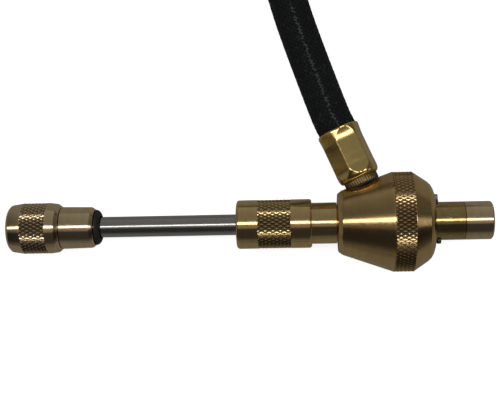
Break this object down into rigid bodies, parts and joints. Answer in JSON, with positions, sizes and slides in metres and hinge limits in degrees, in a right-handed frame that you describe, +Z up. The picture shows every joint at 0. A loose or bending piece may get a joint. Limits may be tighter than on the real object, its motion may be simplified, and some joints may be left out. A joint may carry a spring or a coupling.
{
  "type": "hand torch for lampwork",
  "caption": "Brass hand torch with a sliding steel lance, screw-on nozzle cap, knurled gland collar, conical mixer body and braided gas hose.",
  "frame": {"origin": "on the surface that the torch lies on, below the middle of its box, the free hose left out", "axes": "+X along the torch from nozzle to rear tube, seen from above; +Y towards the hose; +Z up. The torch's own axis rises 3.65 degrees towards +X, because it lies on its belt and its nozzle cap."},
  "size_m": [0.1729, 0.2535, 0.0323],
  "materials": {
    "body_brass": "turned brass, golden brown, fine lathe lines",
    "collar_brass": "turned brass with a knurled band",
    "tip_brass": "turned brass, heat tinted",
    "tube_brass": "drawn brass tube, lightly scratched",
    "pale_brass": "turned brass, paler",
    "ferrule_brass": "crimped brass, bright",
    "nipple_brass": "turned brass, rough",
    "stainless": "drawn stainless tube, satin",
    "spring_steel": "grey spring steel",
    "black_rubber": "matt black rubber",
    "packing": "PTFE, off-white",
    "hose_braid": "black textile braid"
  },
  "bodies": {
    "mixer": {"mixer_body": "body_brass", "front_barrel": "body_brass", "barrel_oring": "black_rubber", "cap_oring": "black_rubber", "lance_packing": "packing", "packing_follower": "body_brass", "seal_washer": "body_brass", "rear_tube_oring": "black_rubber", "hose_nipple": "nipple_brass", "port_seal_washer": "black_rubber", "torch_ferrule": "ferrule_brass", "torch_hose_end": "black_rubber", "gas_hose": "hose_braid", "gas_hose_coil": "hose_braid", "supply_ferrule": "ferrule_brass", "supply_hose_end": "black_rubber", "supply_stem": "nipple_brass"},
    "regulator": {"regulator_cap": "body_brass", "rear_bush": "packing", "retaining_clip": "spring_steel"},
    "collar": {"gland_collar": "collar_brass"},
    "lance": {"lance_tube": "stainless", "lance_stop": "body_brass", "rubber_bumper": "black_rubber", "nozzle_neck": "pale_brass"},
    "nozzle": {"nozzle_cap": "pale_brass", "burner_tip": "tip_brass"},
    "rear_tube": {"rear_tube": "tube_brass", "tube_end_ring": "pale_brass", "rear_tube_stop": "spring_steel"}
  },
  "joints": [
    {"name": "lance_slide", "type": "slide", "parent": "mixer", "child": "lance", "axis": [0.998, 0, 0.0637], "range_m": [0, 0.0534]},
    {"name": "nozzle_cap_turn", "type": "hinge", "parent": "lance", "child": "nozzle", "pos_m": [-0.06881, -0.00836, 0.00861], "axis": [0.998, 0, 0.0637], "range_deg": [-360, 0]},
    {"name": "gland_collar_turn", "type": "hinge", "parent": "mixer", "child": "collar", "pos_m": [0.00813, -0.00836, 0.01352], "axis": [0.998, 0, 0.0637], "range_deg": [-180, 0]},
    {"name": "regulator_cap_turn", "type": "hinge", "parent": "mixer", "child": "regulator", "pos_m": [0.04945, -0.00836, 0.01616], "axis": [0.998, 0, 0.0637], "range_deg": [0, 270]},
    {"name": "rear_tube_slide", "type": "slide", "parent": "mixer", "child": "rear_tube", "axis": [0.998, 0, 0.0637], "range_m": [-0.0096, 0]}
  ]
}
